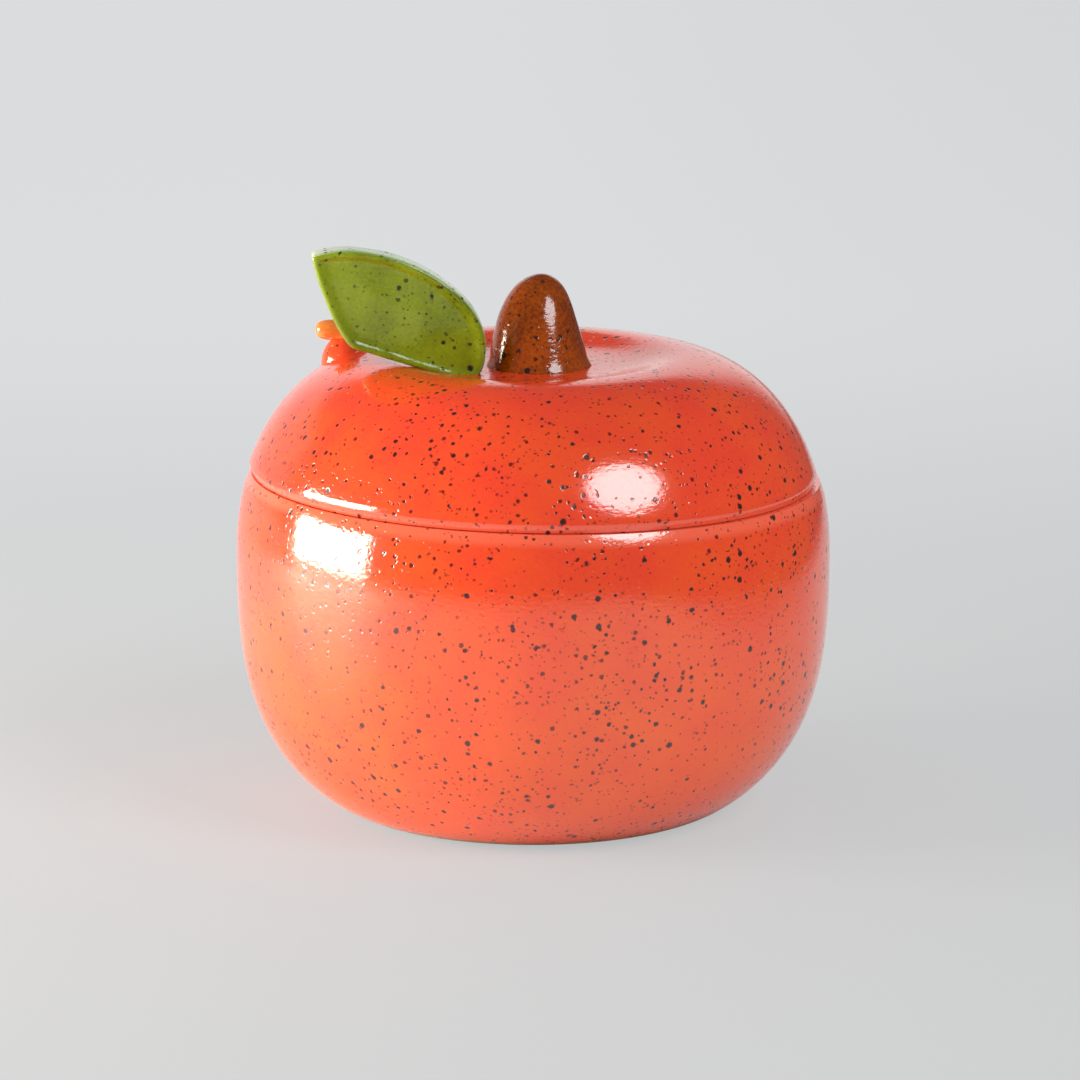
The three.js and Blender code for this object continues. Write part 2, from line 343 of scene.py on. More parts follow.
# %% [markdown]
# ## The lid's flange
# A ring of bare clay under the lid keeps it from sliding off. It is turned from a small rectangle with
# eased corners that closes on itself, and all of it leans with the seam.

# %% Turn the flange
FLANGE_DEPTH = 8.5 * MM
FLANGE_EASE = 1.1 * MM


def flange_profile():
    """The flange's section: from its inner top corner down, across, and up its outer wall."""
    foot = SEAM_HEIGHT - FLANGE_DEPTH
    inner_foot = (FLANGE_INNER, foot + FLANGE_EASE)
    outer_foot = (FLANGE_OUTER - FLANGE_EASE, foot)
    points = [(FLANGE_INNER, SEAM_HEIGHT), inner_foot]
    points += bend(inner_foot, (FLANGE_INNER, foot), (FLANGE_INNER + FLANGE_EASE, foot), 5)
    points += [outer_foot]
    points += bend(outer_foot, (FLANGE_OUTER, foot), (FLANGE_OUTER, foot + FLANGE_EASE), 5)
    return points + [(FLANGE_OUTER, SEAM_HEIGHT), (FLANGE_INNER, SEAM_HEIGHT)]


flange = turn_form("lid_flange_ring", flange_profile(), LID_X)
lean_seam(flange, LID_X, SEAM_HEIGHT - FLANGE_DEPTH, SEAM_HEIGHT, MM)
tell(flange)

# %% [markdown]
# ## The stem
# The stem is a solid gumdrop of clay, pressed onto the dish and smeared out a little at its foot. Its
# radius is a power of the depth below its tip, which gives the nearly straight flanks. A power curve has
# a flat top, so it is blended into a round one, and a small flare is added to the last two millimetres.
# The turned form is then bent a little, because the gumdrop was rolled by hand: it is fuller on the left,
# and its tip leans to the back and to the right.

# %% Turn the stem
STEM_POWER = 0.335
STEM_TIP_RADIUS = 5 * MM
STEM_TIP_BLEND = 14
STEM_FLARE = 0.45 * MM
STEM_FLARE_HEIGHT = 2.2 * MM
STEM_SINK = 0.4 * MM
STEM_TIP_SHIFT = 0.4 * MM
STEM_TIP_BACK = 1.2 * MM
STEM_BULGE = 0.5 * MM

stem_low, stem_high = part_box("stem")
STEM_X = (stem_low.x + stem_high.x) / 2
STEM_RADIUS = (stem_high.x - stem_low.x) / 2
STEM_HEIGHT = stem_high.z - stem_low.z


def stem_profile(rows=40):
    """The stem from the middle of its hidden foot, up its flank, to its tip."""
    points = [(0, SEAT_HEIGHT - STEM_SINK), (STEM_RADIUS + STEM_FLARE, SEAT_HEIGHT - STEM_SINK)]
    for i in range(rows):
        depth = 1 - math.sin(i / rows * math.pi / 2)
        height = STEM_HEIGHT * (1 - depth)
        flare = STEM_FLARE * max(1 - height / STEM_FLARE_HEIGHT, 0) ** 2
        flank = STEM_RADIUS * depth ** STEM_POWER
        round_tip = math.sqrt(2 * STEM_TIP_RADIUS * STEM_HEIGHT * depth)
        radius = flank / (1 + (flank / round_tip) ** STEM_TIP_BLEND) ** (1 / STEM_TIP_BLEND)
        points.append((radius + flare, SEAT_HEIGHT + height))
    return points + [(0, SEAT_HEIGHT + STEM_HEIGHT)]


stem = turn_form("stem_knob", stem_profile(), STEM_X, 96)
for vertex in stem.data.vertices:
    share = max(vertex.co.z - SEAT_HEIGHT, 0) / STEM_HEIGHT
    vertex.co.x += STEM_TIP_SHIFT * share ** 3 - STEM_BULGE * math.sin(math.pi * min(share, 1))
    vertex.co.y += STEM_TIP_BACK * share
wobble_by_hand(stem, depth=0.35 * MM, patch=9 * MM)
tell(stem)

# %% [markdown]
# ## The leaf
# The leaf was cut from a slab of clay and its edges were rubbed round with a wet finger. It stands on its
# root beside the stem, leans to the front and points to the left. The outline is drawn flat with four
# curves, filled, extruded to the slab's thickness and bevelled. The front face is inset and sunk, which
# leaves a lip all round. A voxel remesh then turns the slab into an even skin, which can be smoothed and
# pushed about as soft clay is.

# %% Cut the leaf
LEAF_LENGTH = 34.8 * MM
LEAF_HEIGHT = 25.8 * MM
LEAF_THICKNESS = 5.5 * MM
LEAF_ROUNDING = 0.9 * MM
LEAF_LIP = 1.2 * MM
LEAF_DISH = 0.8 * MM
LEAF_LEAN = math.radians(4)
LEAF_YAW = math.radians(4)
LEAF_STEM_GAP = 0.4 * MM
LEAF_FRONT = 10.6 * MM
LEAF_VOXEL = 0.4 * MM


def cubic(a, b, c, d, steps):
    """Points of a cubic curve after its start, as shares of the leaf's length and height."""
    points = []
    for i in range(1, steps + 1):
        t = i / steps
        weights = ((1 - t) ** 3, 3 * t * (1 - t) ** 2, 3 * t * t * (1 - t), t ** 3)
        back = sum(w * p[0] for w, p in zip(weights, (a, b, c, d)))
        up = sum(w * p[1] for w, p in zip(weights, (a, b, c, d)))
        points.append((-back * LEAF_LENGTH, up * LEAF_HEIGHT, 0))
    return points


def leaf_outline():
    """Round the leaf from its tip: over the top edge, down the rounded root and back under."""
    tip = (1, 0.95)
    shoulder = (0, 0.27)
    heel = (0.13, -0.06)
    chin = (0.75, 0.205)
    points = [(-tip[0] * LEAF_LENGTH, tip[1] * LEAF_HEIGHT, 0)]
    points += cubic(tip, (0.6, 1.14), (0.02, 0.68), shoulder, 24)
    points += cubic(shoulder, (0, 0.08), (0.0, -0.05), heel, 10)
    points += cubic(heel, (0.3, -0.01), (0.6, 0.15), chin, 12)
    return points + cubic(chin, (0.83, 0.25), (0.95, 0.66), tip, 16)


leaf = draw_chain("leaf_blade", leaf_outline())
bpy.ops.mesh.remove_doubles(threshold=MERGE_REACH)
bpy.ops.mesh.edge_face_add()
bpy.ops.mesh.extrude_region_move(TRANSFORM_OT_translate={"value": (0, 0, -LEAF_THICKNESS)})
close_mesh()
for edge in leaf.data.edges:
    ends = [leaf.data.vertices[i].co.z for i in edge.vertices]
    edge.select = abs(ends[0] - ends[1]) < MM / 100
bpy.ops.object.mode_set(mode="EDIT")
bpy.ops.mesh.select_mode(type="EDGE")
bpy.ops.mesh.bevel(offset=LEAF_ROUNDING, segments=5, affect="EDGES")
bpy.ops.mesh.select_mode(type="FACE")
bpy.ops.mesh.select_all(action="DESELECT")
bpy.ops.object.mode_set(mode="OBJECT")
for face in leaf.data.polygons:
    face.select = face.normal.z > 0.99
bpy.ops.object.mode_set(mode="EDIT")
bpy.ops.mesh.inset(thickness=LEAF_LIP, depth=-LEAF_DISH)
bpy.ops.object.mode_set(mode="OBJECT")
tell(leaf)

# %% Soften the leaf and stand it beside the stem
def soften_clay(piece, voxel, passes):
    """Remesh a piece to an even skin and smooth it, and apply both modifiers."""
    bpy.context.view_layer.objects.active = piece
    remesh = piece.modifiers.new("skin", "REMESH")
    remesh.mode = "VOXEL"
    remesh.voxel_size = voxel
    remesh.use_smooth_shade = True
    bpy.ops.object.modifier_apply(modifier="skin")
    smooth = piece.modifiers.new("rubbed", "SMOOTH")
    smooth.iterations = passes
    bpy.ops.object.modifier_apply(modifier="rubbed")


def settle(piece, placement):
    """Move a piece that was modelled flat to its place, and put the place into its mesh."""
    bpy.ops.object.select_all(action="DESELECT")
    piece.select_set(True)
    bpy.context.view_layer.objects.active = piece
    piece.matrix_world = placement
    bpy.ops.object.transform_apply(location=True, rotation=True, scale=True)


soften_clay(leaf, LEAF_VOXEL, passes=3)
wobble_by_hand(leaf, depth=0.5 * MM, patch=11 * MM)
leaf_root = Vector((STEM_X - STEM_RADIUS - LEAF_STEM_GAP, -LEAF_FRONT, SEAT_HEIGHT))
leaf_turn = Matrix.Rotation(LEAF_YAW, 4, "Z") @ Matrix.Rotation(math.pi / 2 + LEAF_LEAN, 4, "X")
settle(leaf, Matrix.Translation(leaf_root) @ leaf_turn)
tell(leaf)

# %% [markdown]
# ## The worm and its mound
# The worm comes out of a small mound on the lid's shoulder, as if it had eaten its way out, and turns its
# head to the left. The mound is a low dome that sinks into the lid, turned and then tilted with the
# lid's slope. The worm is a tube along a bent path: the Skin modifier gives a chain of vertices its
# thickness, and a Subdivision Surface rounds the head.

# %% Turn the mound
MOUND_REACH = 39 * MM
MOUND_BEARING = math.radians(164.4)
MOUND_RADIUS = 5.6 * MM
MOUND_HEIGHT = 3.9 * MM
MOUND_SINK = 1.2 * MM
MOUND_FULLNESS = 2.2
MOUND_STEEPNESS = 0.7


def mound_place(tilt):
    """The frame that stands on the lid's shoulder at the mound, tilted outwards with its slope."""
    across = (MOUND_REACH - CREST_RADIUS) / (BELLY_RADIUS - CREST_RADIUS)
    height = BELLY_HEIGHT + UPPER_REACH * (1 - across ** UPPER_FULLNESS) ** (1 / UPPER_FULLNESS)
    aside, back = MOUND_REACH * math.cos(MOUND_BEARING), MOUND_REACH * math.sin(MOUND_BEARING)
    foot = Vector((LID_X + aside, back, height))
    slope = Matrix.Rotation(math.asin(across), 4, "Y") if tilt else Matrix.Identity(4)
    return Matrix.Translation(foot) @ Matrix.Rotation(MOUND_BEARING, 4, "Z") @ slope


def mound_profile(rows=20):
    """A dome from the middle of its hidden underside to its top."""
    points = [(0, -2 * MOUND_SINK), (MOUND_RADIUS, -2 * MOUND_SINK)]
    for i in range(rows):
        share = 1 - i / rows
        rise = (1 - share ** MOUND_FULLNESS) ** MOUND_STEEPNESS
        points.append((MOUND_RADIUS * share, (MOUND_HEIGHT + MOUND_SINK) * rise - MOUND_SINK))
    return points + [(0, MOUND_HEIGHT)]


mound = turn_form("worm_mound_dome", mound_profile(), 0, 64)
settle(mound, mound_place(tilt=True))
wobble_by_hand(mound, depth=0.25 * MM, patch=5 * MM)
tell(mound)

# %% Bend the worm
WORM_RADIUS = 2.3 * MM
WORM_NECK = 4.8 * MM
WORM_HEAD = 6.4 * MM
WORM_NOSE = 0.7
WORM_YAW = math.radians(180 + 6) - MOUND_BEARING

neck_foot = (0, 0, -WORM_RADIUS / 2)
neck_top = (0, 0, WORM_NECK - WORM_RADIUS)
head_start = (WORM_RADIUS, 0, WORM_NECK)
worm_path = [neck_foot, neck_top] + bend(neck_top, (0, 0, WORM_NECK), head_start, 3)
worm_path += [(WORM_HEAD - WORM_RADIUS, 0, WORM_NECK), (WORM_HEAD, 0, WORM_NECK)]
worm = draw_chain("worm_body", worm_path)
bpy.ops.object.mode_set(mode="OBJECT")
skin = worm.modifiers.new("skin", "SKIN")
rings = worm.data.skin_vertices[0].data
for ring in rings:
    ring.radius = (WORM_RADIUS, WORM_RADIUS)
rings[-1].radius = (WORM_RADIUS * WORM_NOSE, WORM_RADIUS * WORM_NOSE)
bpy.ops.object.modifier_apply(modifier="skin")
rounding = worm.modifiers.new("rounding", "SUBSURF")
rounding.levels = 3
rounding.render_levels = 3
bpy.ops.object.modifier_apply(modifier="rounding")
bpy.ops.object.shade_smooth()
settle(worm, mound_place(tilt=False) @ Matrix.Rotation(WORM_YAW, 4, "Z"))
tell(worm)

# %% [markdown]
# ## Building blocks for the finishes
# Every finish is a node tree. A small helper adds a node, sets its options and fills its inputs, either
# with a value or with a link from another node, so that each tree below reads from its source to its
# shader. All patterns read Object coordinates, in metres, because every piece sits at the origin.

# %% A helper for node trees
def add(tree, kind, inputs=None, **options):
    """Add a node with its options, and fill its inputs with values or with links."""
    node = tree.nodes.new(kind)
    node.location.x = 170 * len(tree.nodes)
    for option, value in options.items():
        setattr(node, option, value)
    for name, value in (inputs or {}).items():
        if isinstance(value, bpy.types.NodeSocket):
            tree.links.new(value, node.inputs[name])
        else:
            node.inputs[name].default_value = value
    return node


def math_node(tree, operation, first, second):
    """The output of a Math node on two values or links."""
    return add(tree, "ShaderNodeMath", {0: first, 1: second}, operation=operation).outputs[0]


def vector_node(tree, operation, first, second):
    """The output of a Vector Math node on two vectors or links."""
    return add(tree, "ShaderNodeVectorMath", {0: first, 1: second}, operation=operation).outputs[0]


def mix_colours(tree, factor, first, second, blend="MIX"):
    """The output of a colour Mix node."""
    inputs = {0: factor, 6: first, 7: second}
    return add(tree, "ShaderNodeMix", inputs, data_type="RGBA", blend_type=blend).outputs[2]


def ramp_between(tree, value, low, high, to_low=0.0, to_high=1.0):
    """A smooth step of a value between two limits."""
    inputs = {"Value": value, "From Min": low, "From Max": high, "To Min": to_low, "To Max": to_high}
    return add(tree, "ShaderNodeMapRange", inputs, interpolation_type="SMOOTHSTEP").outputs[0]


def new_group(name, inputs, outputs):
    """A shader node group with its sockets, and its input and output nodes."""
    group = bpy.data.node_groups.new(name, "ShaderNodeTree")
    for socket, kind, value in inputs:
        made = group.interface.new_socket(socket, in_out="INPUT", socket_type=kind)
        made.default_value = value
    for socket, kind in outputs:
        group.interface.new_socket(socket, in_out="OUTPUT", socket_type=kind)
    return group, add(group, "NodeGroupInput"), add(group, "NodeGroupOutput")


def link_output(group, end, name, value):
    """Link a value to one of a group's outputs."""
    group.links.new(value, end.inputs[name])


FLOAT = "NodeSocketFloat"
VECTOR = "NodeSocketVector"

# %% [markdown]
# ## Thin glaze and painted sheen on the edges
# A melting glaze draws back from sharp edges and lies thin there, so the two rims at the seam are paler
# than the rest, and part of their pale is a painted reflection. The leaf's edge is paler where it looks
# up, as a painted highlight. This follows the surface and not a place in space, so it is stored on the
# pieces: each vertex gets an attribute from 0 to 1 that the shader reads by its name.

# %% Mark the thin glaze and the painted sheen on the edges
# The mark pales the glaze: thin glaze on the edges, with a painted reflection on the rims and a painted
# highlight on the leaf.
THIN_GLAZE_AND_SHEEN = "thin_glaze_and_sheen"
THIN_AND_SHEEN_FADE = 1.3 * MM
LEAF_EDGE_START = 0.7
LEAF_EDGE_GROWTH = 3


def mark_thin_glaze_and_sheen(piece, share_of):
    """Store on each vertex how thin the glaze lies there and how much painted sheen it takes, from 0 to 1."""
    marks = piece.data.attributes.new(THIN_GLAZE_AND_SHEEN, "FLOAT", "POINT")
    for vertex, mark in zip(piece.data.vertices, marks.data):
        mark.value = min(max(share_of(vertex), 0), 1)
    thin = sum(mark.value > 0.5 for mark in marks.data)
    # The count is of vertices with thin glaze and painted sheen.
    print(piece.name, "has", thin, "of", len(marks.data), "vertices with thin glaze")


def pot_rim_share(vertex):
    """1 on the pot's chamfer at the seam."""
    level = vertex.co.z + SEAM_SLOPE * vertex.co.x
    return (level - SEAM_HEIGHT + RIM_ROUND_HEIGHT) / THIN_AND_SHEEN_FADE


def lid_rim_share(vertex):
    """1 on the lid's chamfer at the seam."""
    level = vertex.co.z + SEAM_SLOPE * (vertex.co.x - LID_X)
    return (LID_UNDERSIDE + LID_ROUND_HEIGHT - level) / THIN_AND_SHEEN_FADE


def leaf_top_sheen_share(vertex):
    """1 where the leaf's edge looks up: a painted highlight."""
    flat = leaf_turn.to_3x3().inverted() @ vertex.normal
    looks_up = min(max(flat.y, 0) * LEAF_EDGE_GROWTH, 1)
    return (LEAF_EDGE_START - abs(flat.z)) * LEAF_EDGE_GROWTH * looks_up


mark_thin_glaze_and_sheen(pot, pot_rim_share)
mark_thin_glaze_and_sheen(lid, lid_rim_share)
mark_thin_glaze_and_sheen(leaf, leaf_top_sheen_share)

# %% [markdown]
# ## Iron specks
# The clay holds grains of iron that burn through the glaze as dark specks, in loose clusters, from more
# than a millimetre down to pinpricks. An image could hold them, but a Voronoi texture gives a grain in
# each of its cells at any size. Its distance makes the speck, its random colour sets the size and which
# cells stay empty, and a broad noise thins them out in patches. A fine noise makes the outlines ragged.

# %% The group of iron specks
RAGGED_SCALE = 1500.0
RAGGED_PUSH = 0.5 * MM
CLUSTER_SCALE = 55.0
SMALLEST_SPECK = 0.35


def specks_group():
    """One layer of specks of a given spacing and size, as a mask."""
    group, start, end = new_group(
        "Iron specks",
        [("Spacing", FLOAT, 2 * MM), ("Radius", FLOAT, 0.4 * MM), ("Share", FLOAT, 0.5),
         ("Shift", VECTOR, (0, 0, 0))],
        [("Mask", FLOAT)],
    )
    place = add(group, "ShaderNodeTexCoord").outputs["Object"]
    ragged = add(group, "ShaderNodeTexNoise", {"Vector": place, "Scale": RAGGED_SCALE, "Detail": 1.0})
    push = vector_node(group, "MULTIPLY", ragged.outputs["Color"], (RAGGED_PUSH,) * 3)
    moved = vector_node(group, "ADD", vector_node(group, "ADD", place, push), start.outputs["Shift"])
    spread = math_node(group, "DIVIDE", 1.0, start.outputs["Spacing"])
    cells = add(group, "ShaderNodeTexVoronoi", {"Vector": moved, "Scale": spread})
    chance = add(group, "ShaderNodeSeparateColor", {"Color": cells.outputs["Color"]})
    grown = math_node(group, "POWER", chance.outputs["Red"], 2.0)
    share = math_node(group, "MULTIPLY", grown, 1 - SMALLEST_SPECK)
    share = math_node(group, "ADD", share, SMALLEST_SPECK)
    size = math_node(group, "MULTIPLY", math_node(group, "MULTIPLY", start.outputs["Radius"], spread), share)
    edge = math_node(group, "DIVIDE", cells.outputs["Distance"], size)
    speck = ramp_between(group, edge, 0.65, 1.1, 1.0, 0.0)
    clusters = add(group, "ShaderNodeTexNoise", {"Vector": moved, "Scale": CLUSTER_SCALE, "Detail": 2.0})
    crowd = ramp_between(group, clusters.outputs[0], 0.33, 0.67, 0.15, 1.7)
    allowed = math_node(group, "MULTIPLY", start.outputs["Share"], crowd)
    present = math_node(group, "LESS_THAN", chance.outputs["Green"], allowed)
    link_output(group, end, "Mask", math_node(group, "MULTIPLY", speck, present))
    return group


iron_specks = specks_group()
print("group", iron_specks.name, "with", len(iron_specks.nodes), "nodes")

# %% [markdown]
# ## The skin of a glaze
# A glaze melts into a glassy coat that is never flat: it has slow swells where it ran, a fine peel that
# lies along the throwing rings, and a few pinholes where bubbles burst. These are too shallow to model,
# so they are a height in metres for a Bump node. The same swells tell where the coat is thick, and a
# thick coat has a deeper colour. A finer grain is given too, because some glazes are mottled. The height
# on the jar is given as well, as painted shade: it darkens the red glaze towards the top.

# %% The group of the glaze's skin
SWELL_SCALE = 90.0
PEEL_SCALE = 1500.0
PEEL_STRETCH = (0.45, 0.45, 1.0)
PIT_SCALE = 420.0
GRAIN_SCALE = 1600.0
# The red glaze is darkened as painted shade between these heights.
TOP_SHADE_LOW = 20 * MM
TOP_SHADE_HIGH = 75 * MM


def glaze_skin_group():
    """Height of a glaze's surface in metres, two reasons for it to lie thick and a painted shade by height,
    these three from 0 to 1.
    """
    group, start, end = new_group(
        "Glaze skin",
        [("Swell", FLOAT, 0.02 * MM), ("Peel", FLOAT, 0.005 * MM), ("Pits", FLOAT, 0.03 * MM)],
        [("Height", FLOAT), ("Thickness", FLOAT), ("Grain", FLOAT), ("Lift", FLOAT)],
    )
    place = add(group, "ShaderNodeTexCoord").outputs["Object"]
    slow = add(group, "ShaderNodeTexNoise", {"Vector": place, "Scale": SWELL_SCALE, "Detail": 2.0}).outputs[0]
    lying = vector_node(group, "MULTIPLY", place, PEEL_STRETCH)
    fine = add(group, "ShaderNodeTexNoise", {"Vector": lying, "Scale": PEEL_SCALE, "Detail": 2.0}).outputs[0]
    holes = add(group, "ShaderNodeTexVoronoi", {"Vector": place, "Scale": PIT_SCALE})
    hole = ramp_between(group, holes.outputs["Distance"], 0.06, 0.20, -1.0, 0.0)
    swell = math_node(group, "MULTIPLY", slow, start.outputs["Swell"])
    peel = math_node(group, "MULTIPLY", fine, start.outputs["Peel"])
    pits = math_node(group, "MULTIPLY", hole, start.outputs["Pits"])
    height = math_node(group, "ADD", math_node(group, "ADD", swell, peel), pits)
    link_output(group, end, "Height", height)
    link_output(group, end, "Thickness", ramp_between(group, slow, 0.3, 0.7))
    grain = add(group, "ShaderNodeTexNoise", {"Vector": place, "Scale": GRAIN_SCALE, "Detail": 2.0})
    link_output(group, end, "Grain", ramp_between(group, grain.outputs[0], 0.35, 0.65))
    # Painted shade: a ramp that darkens the glaze towards the top of the jar.
    level = add(group, "ShaderNodeSeparateXYZ", {0: place}).outputs["Z"]
    link_output(group, end, "Lift", ramp_between(group, level, TOP_SHADE_LOW, TOP_SHADE_HIGH))
    return group


glaze_skin = glaze_skin_group()
print("group", glaze_skin.name, "with", len(glaze_skin.nodes), "nodes")

# %% [markdown]
# ## The glazes
# All the glazes on the jar are made alike: a colour between a thin and a thick coat, three layers of iron
# specks that burn through it, and the skin's height for the gloss to break on. So one function builds
# them, and each glaze gives its own colours and amounts. The index of refraction sets how strong the
# shine is: it is high for the red, orange and liner glazes, and lower for the brown and the green.

# %% A function for every glaze
SPECK_DEPTH = 0.03 * MM
SPECK_ROUGHNESS = 0.1


def put_group(tree, group, **values):
    """Place a node group in a tree and set its inputs by name."""
    node = add(tree, "ShaderNodeGroup", node_tree=group)
    for name, value in values.items():
        node.inputs[name].default_value = value
    return node


def new_material(name):
    """An empty material with a Principled shader and its output."""
    material = bpy.data.materials.new(name)
    material.use_nodes = True
    tree = material.node_tree
    shader = tree.nodes["Principled BSDF"]
    return material, tree, shader


def speck_layer(tree, colour, iron, strength, **values):
    """Lay one layer of specks over a colour. Gives the new colour and the layer's mask."""
    mask = put_group(tree, iron_specks, **values).outputs["Mask"]
    shown = math_node(tree, "MULTIPLY", mask, strength)
    return mix_colours(tree, shown, colour, iron), mask


def make_glaze(name, thin, thick, edge=None, grains=1.0, iron=(0.010, 0.008, 0.009, 1),
               rust=(0.09, 0.008, 0.006, 1), swell=0.03 * MM, peel=0.035 * MM, pits=0.04 * MM, gloss=0.12,
               ior=1.72, mottle=0.2, top_shade=0.0):
    """A glossy glaze over speckled clay."""
    material, tree, shader = new_material(name)
    skin = put_group(tree, glaze_skin, Swell=swell, Peel=peel, Pits=pits)
    coat = math_node(tree, "MULTIPLY", skin.outputs["Thickness"], 1 - mottle - top_shade)
    coat = math_node(tree, "ADD", coat, math_node(tree, "MULTIPLY", skin.outputs["Grain"], mottle))
    # Painted shade: the colour moves towards the thick coat higher up the jar.
    coat = math_node(tree, "ADD", coat, math_node(tree, "MULTIPLY", skin.outputs["Lift"], top_shade))
    colour = mix_colours(tree, coat, thin, thick)
    # The pale edge colour is thin glaze with painted sheen: a painted reflection on the rims and a painted
    # highlight on the leaf's upper edge.
    thin_and_sheen = add(tree, "ShaderNodeAttribute", attribute_name=THIN_GLAZE_AND_SHEEN).outputs["Fac"]
    colour = mix_colours(tree, thin_and_sheen, colour, edge or thin)
    colour, _ = speck_layer(tree, colour, rust, 0.6, Spacing=1.1 * MM, Radius=0.40 * MM, Share=0.7 * grains)
    colour, small = speck_layer(tree, colour, rust, 0.9, Spacing=1.6 * MM, Radius=0.56 * MM,
                                Share=0.9 * grains, Shift=(0.3, 0.1, 0.2))
    colour, large = speck_layer(tree, colour, iron, 0.95, Spacing=2.3 * MM, Radius=0.76 * MM,
                                Share=0.75 * grains, Shift=(0.7, 0.5, 0.9))
    grit = math_node(tree, "MULTIPLY", math_node(tree, "ADD", small, large), -SPECK_DEPTH)
    height = math_node(tree, "ADD", skin.outputs["Height"], grit)
    bump = add(tree, "ShaderNodeBump", {"Height": height, "Distance": 1.0, "Strength": 1.0})
    rough = ramp_between(tree, large, 0.0, 1.0, gloss, gloss + SPECK_ROUGHNESS)
    tree.links.new(colour, shader.inputs["Base Color"])
    tree.links.new(rough, shader.inputs["Roughness"])
    tree.links.new(bump.outputs["Normal"], shader.inputs["Normal"])
    shader.inputs["IOR"].default_value = ior
    return material


# Each edge colour is the pale of thin glaze together with painted sheen on the edges.
# The red glaze is darkened towards the top as painted shade.
red_glaze = make_glaze("red_glaze", thin=(0.82, 0.098, 0.009, 1), thick=(0.76, 0.047, 0.020, 1),
                       edge=(0.84, 0.115, 0.055, 1), mottle=0.15, top_shade=0.5)
brown_glaze = make_glaze("brown_glaze", thin=(0.37, 0.066, 0.001, 1), thick=(0.12, 0.017, 0.0005, 1),
                         grains=0.9, rust=(0.05, 0.010, 0.004, 1), ior=1.55, mottle=0.45,
                         swell=0.06 * MM, peel=0.05 * MM, pits=0.06 * MM)
green_glaze = make_glaze("green_glaze", thin=(0.22, 0.29, 0.010, 1), thick=(0.12, 0.165, 0.004, 1),
                         edge=(0.42, 0.52, 0.33, 1), grains=0.8, rust=(0.05, 0.04, 0.006, 1),
                         ior=1.45, mottle=0.3, swell=0.06 * MM)
orange_glaze = make_glaze("orange_glaze", thin=(0.84, 0.23, 0.040, 1), thick=(0.76, 0.16, 0.026, 1),
                          grains=0.25, rust=(0.30, 0.05, 0.01, 1))
liner_glaze = make_glaze("liner_glaze", thin=(0.66, 0.55, 0.40, 1), thick=(0.74, 0.65, 0.52, 1),
                         rust=(0.20, 0.10, 0.05, 1))
print("glazes:", [m.name for m in (red_glaze, brown_glaze, green_glaze, orange_glaze, liner_glaze)])

# %% [markdown]
# ## Bare clay
# Where pot and lid touch, and under the foot, the glaze is wiped off before firing, or the pieces would
# melt together. What shows there is the fired clay: matt, sandy buff, with the same specks.

# %% The bare clay
def make_clay(name):
    """Unglazed speckled stoneware."""
    material, tree, shader = new_material(name)
    place = add(tree, "ShaderNodeTexCoord").outputs["Object"]
    broad = add(tree, "ShaderNodeTexNoise", {"Vector": place, "Scale": 120.0, "Detail": 3.0}).outputs[0]
    sand = add(tree, "ShaderNodeTexNoise", {"Vector": place, "Scale": 2600.0, "Detail": 3.0}).outputs[0]
    colour = mix_colours(tree, broad, (0.40, 0.23, 0.12, 1), (0.60, 0.40, 0.25, 1))
    colour = mix_colours(tree, ramp_between(tree, sand, 0.35, 0.65, 0.0, 0.35), colour, (0.30, 0.17, 0.09, 1))
    colour, _ = speck_layer(tree, colour, (0.06, 0.03, 0.02, 1), 0.8, Spacing=1.6 * MM, Radius=0.3 * MM,
                            Share=0.6)
    colour, _ = speck_layer(tree, colour, (0.02, 0.012, 0.01, 1), 0.9, Spacing=2.7 * MM, Radius=0.55 * MM,
                            Share=0.6, Shift=(0.7, 0.5, 0.9))
    height = math_node(tree, "MULTIPLY", sand, 0.05 * MM)
    bump = add(tree, "ShaderNodeBump", {"Height": height, "Distance": 1.0, "Strength": 1.0})
    tree.links.new(colour, shader.inputs["Base Color"])
    tree.links.new(ramp_between(tree, sand, 0.3, 0.7, 0.75, 0.92), shader.inputs["Roughness"])
    tree.links.new(bump.outputs["Normal"], shader.inputs["Normal"])
    return material


bare_clay = make_clay("bare_clay")
print("material", bare_clay.name)

# %% [markdown]
# ## Glaze the pieces
# Pot and lid carry three finishes each: red outside, a pale liner inside and bare clay on the seat and
# the foot. Each face is sorted by where it lies and which way it looks. The other pieces have one finish.
# Each piece then rides on its CAD body and takes the place of its CAD node.

# %% Give each face its finish
OUTSIDE, INSIDE, BARE = 0, 1, 2
FLAT = 0.9


def dress(piece, *materials):
    """Give a piece its materials in order."""
    piece.data.materials.clear()
    for material in materials:
        piece.data.materials.append(material)


def sort_faces(piece, centre_x, finish_of):
    """Set each face's finish from its radius, height and how far it looks up and out."""
    for face in piece.data.polygons:
        across = face.center.x - centre_x
        radius = max(math.hypot(across, face.center.y), MM / 100)
        outward = (face.normal.x * across + face.normal.y * face.center.y) / radius
        level = face.center.z + SEAM_SLOPE * across
        face.material_index = finish_of(radius, face.center.z, level, outward, face.normal.z)


def pot_finish(radius, height, level, outward, upward):
    """Bare under the foot and on the seat, red outside, lined inside."""
    if upward < -FLAT and height < 2 * RECESS_DEPTH:
        return BARE
    if upward > FLAT and level > SEAM_HEIGHT - MM and radius < GLAZE_LINE:
        return BARE
    inside = outward < -0.1 or (upward > 0.5 and height < BELLY_HEIGHT)
    return INSIDE if inside else OUTSIDE


def lid_finish(radius, height, level, outward, upward):
    """Bare on the seat, red outside, lined in the hollow."""
    if upward < -FLAT and level < LID_UNDERSIDE + MM and radius < GLAZE_LINE:
        return BARE
    within = radius < FLANGE_INNER + 3 * MM and height < SEAT_HEIGHT - MM
    in_hollow = within and (outward < -0.3 or upward < -0.3)
    return INSIDE if in_hollow else OUTSIDE


